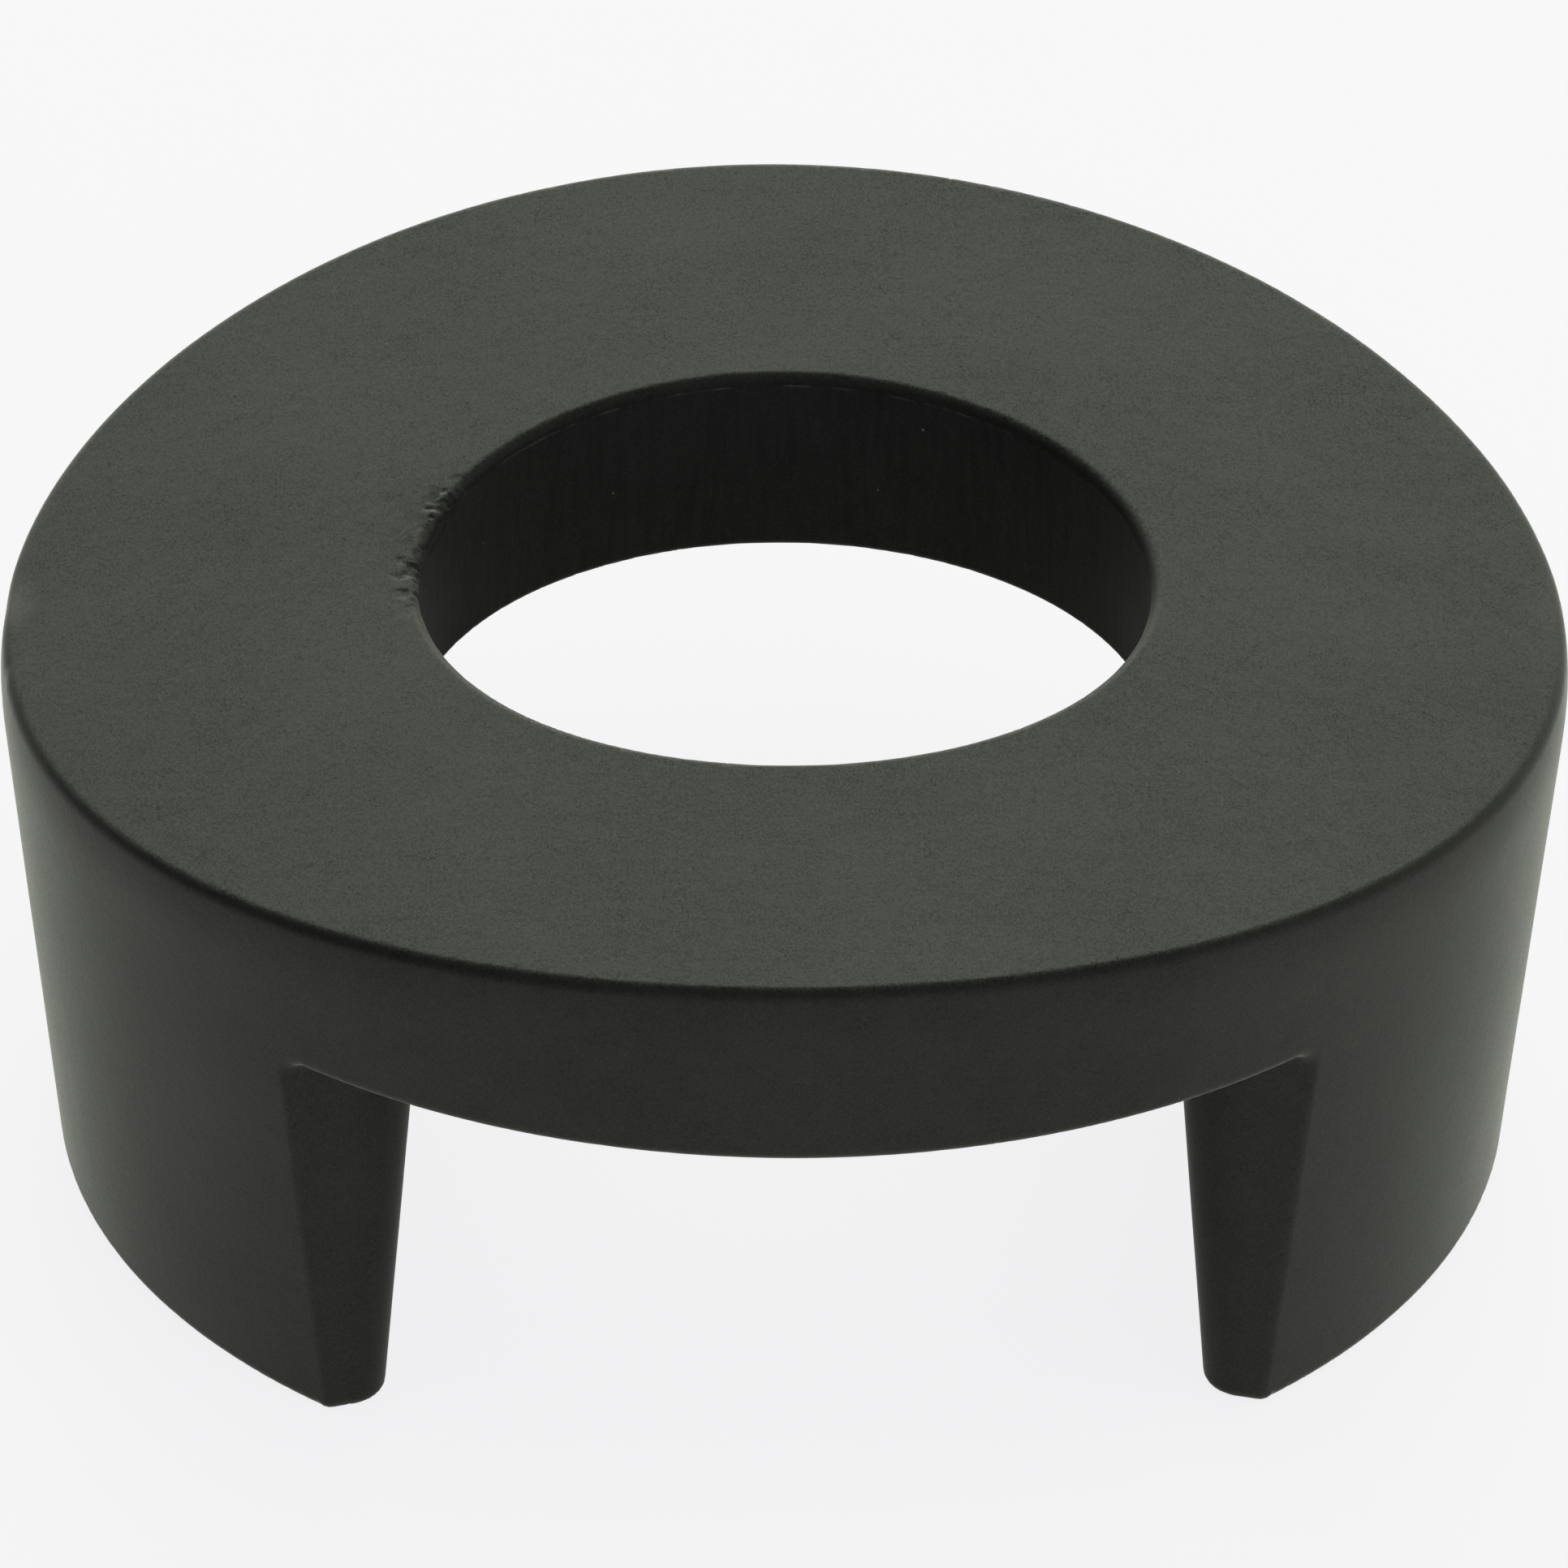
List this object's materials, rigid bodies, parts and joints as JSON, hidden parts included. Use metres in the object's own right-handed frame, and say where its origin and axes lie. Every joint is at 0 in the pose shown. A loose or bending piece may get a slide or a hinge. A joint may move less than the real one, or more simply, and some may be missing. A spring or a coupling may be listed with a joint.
{
  "type": "cabinet pull",
  "caption": "Round ring-shaped cabinet pull in matte black: a drafted ring with an arched top and a round opening, on solid feet with an open finger slot between them.",
  "frame": {"origin": "on the mounting plane, the underside of the feet, at the axis of the ring", "axes": "+Z from the cabinet front outwards to the arched top; the feet and the screw axes lie along X; the finger slot runs along Y"},
  "size_m": [0.0438, 0.0442, 0.0178],
  "materials": {
    "black_coating": "matte black powder coat with a fine grain over a zinc die casting",
    "insert_brass": "turned and knurled, uncoated"
  },
  "bodies": {
    "root": {"ring_body": "black_coating", "left_threaded_insert": "insert_brass", "right_threaded_insert": "insert_brass"}
  },
  "joints": []
}
